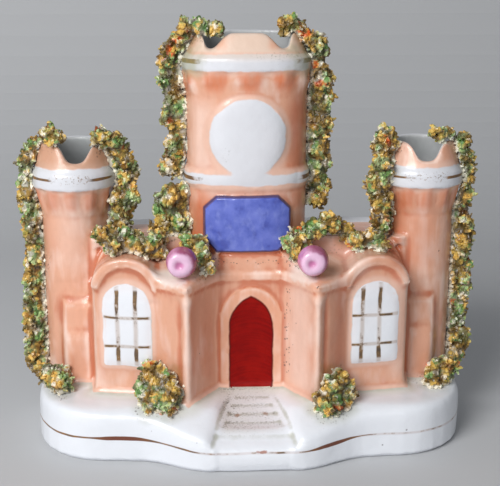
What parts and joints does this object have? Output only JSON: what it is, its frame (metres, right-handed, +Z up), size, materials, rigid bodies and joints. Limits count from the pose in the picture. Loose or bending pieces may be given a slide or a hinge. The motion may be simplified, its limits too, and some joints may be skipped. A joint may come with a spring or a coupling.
{
  "type": "pottery castle",
  "caption": "Glazed pottery castle: a gatehouse with a red arched door and window bays between hollow round towers, hung with clay foliage, on a serpentine-fronted plinth; holds spills.",
  "frame": {"origin": "middle of the underside of the plinth, at the centre of the overall box, on the surface that the castle stands on", "axes": "+X to the right of a viewer in front of the castle, +Y to the back, +Z up; the door faces -Y"},
  "size_m": [0.137, 0.0548, 0.1235],
  "materials": {
    "peach_glaze": "glossy peach ground colour over a pale body, thinner and paler at the edges",
    "white_glaze": "glossy white with light grey staining",
    "red_enamel": "glossy deep red enamel with brush strokes",
    "blue_enamel": "glossy mottled violet blue enamel",
    "pink_enamel": "glossy mauve pink enamel",
    "foliage_glaze": "rough shredded clay touched in ochre, green, grey and orange glaze"
  },
  "bodies": {
    "root": {"plinth": "white_glaze", "front_steps": "white_glaze", "gatehouse_wall": "peach_glaze", "gatehouse_cornice": "peach_glaze", "gatehouse_roof": "peach_glaze", "door_surround": "peach_glaze", "door": "red_enamel", "back_wall": "white_glaze", "centre_tower_base": "peach_glaze", "centre_tower_collar": "white_glaze", "centre_tower_stage": "peach_glaze", "centre_tower_crown": "peach_glaze", "round_disc": "white_glaze", "blue_plaque": "blue_enamel", "left_window_bay": "peach_glaze", "left_hood_mould": "peach_glaze", "left_window": "white_glaze", "left_wing_wall": "peach_glaze", "left_wing_roof": "peach_glaze", "left_tower_shaft": "peach_glaze", "left_tower_crown": "peach_glaze", "left_buttress": "peach_glaze", "left_rosette": "pink_enamel", "right_window_bay": "peach_glaze", "right_hood_mould": "peach_glaze", "right_window": "white_glaze", "right_wing_wall": "peach_glaze", "right_wing_roof": "peach_glaze", "right_tower_shaft": "peach_glaze", "right_tower_crown": "peach_glaze", "right_buttress": "peach_glaze", "right_rosette": "pink_enamel", "left_outer_foliage": "foliage_glaze", "left_crest_foliage": "foliage_glaze", "left_inner_foliage": "foliage_glaze", "left_garland": "foliage_glaze", "left_bay_foliage": "foliage_glaze", "left_rosette_foliage": "foliage_glaze", "centre_left_tuft": "foliage_glaze", "centre_left_foliage": "foliage_glaze", "centre_left_crest": "foliage_glaze", "centre_right_foliage": "foliage_glaze", "centre_right_crest": "foliage_glaze", "right_shoulder_foliage": "foliage_glaze", "right_inner_foliage": "foliage_glaze", "right_bay_foliage": "foliage_glaze", "right_outer_foliage": "foliage_glaze", "right_crest_foliage": "foliage_glaze", "left_corner_foliage": "foliage_glaze", "right_corner_foliage": "foliage_glaze", "left_prow_foliage": "foliage_glaze", "right_prow_foliage": "foliage_glaze"}
  },
  "joints": []
}
